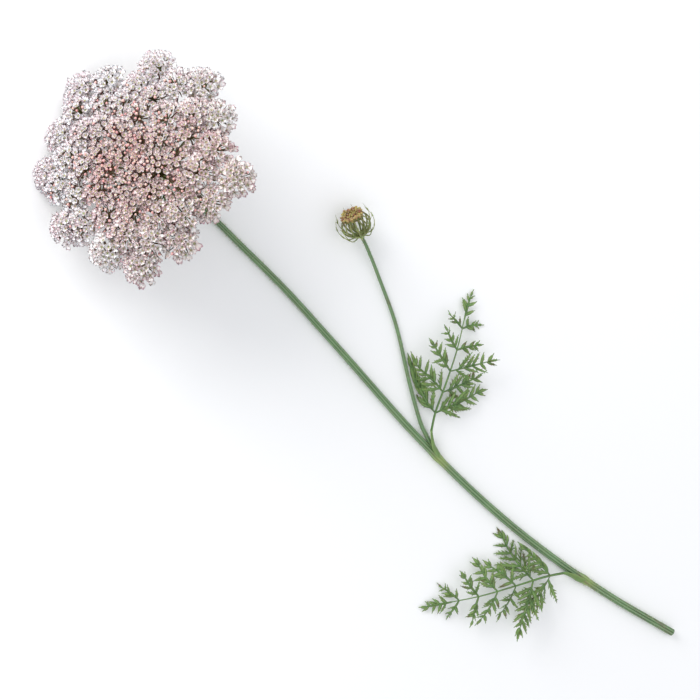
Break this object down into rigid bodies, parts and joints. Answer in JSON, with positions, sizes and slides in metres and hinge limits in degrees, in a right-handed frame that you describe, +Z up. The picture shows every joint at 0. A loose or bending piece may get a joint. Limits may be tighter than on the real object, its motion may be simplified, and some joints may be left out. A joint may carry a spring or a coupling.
{
  "type": "queen annes lace flower",
  "caption": "Cut wild carrot stem lying down: a flat lacy umbel of small blush florets on a bent neck, divided leaves and a side stem with a nest-like young umbel.",
  "frame": {"origin": "on the surface that the flower lies on, under the middle of its box", "axes": "+X along the stem towards its cut end, +Z up, away from the surface; the flower head is at -X"},
  "size_m": [0.3904, 0.12, 0.0669],
  "materials": {
    "petals": "matt, soft",
    "bracts": "matt",
    "stem": "fresh, slightly hairy",
    "leaf": "satin",
    "buds": "matt"
  },
  "bodies": {
    "root": {"umbel": "petals", "involucre": "bracts", "stem": "stem", "upper_leaf": "leaf", "lower_leaf": "leaf", "side_stem": "stem", "side_umbel": "buds"}
  },
  "joints": []
}
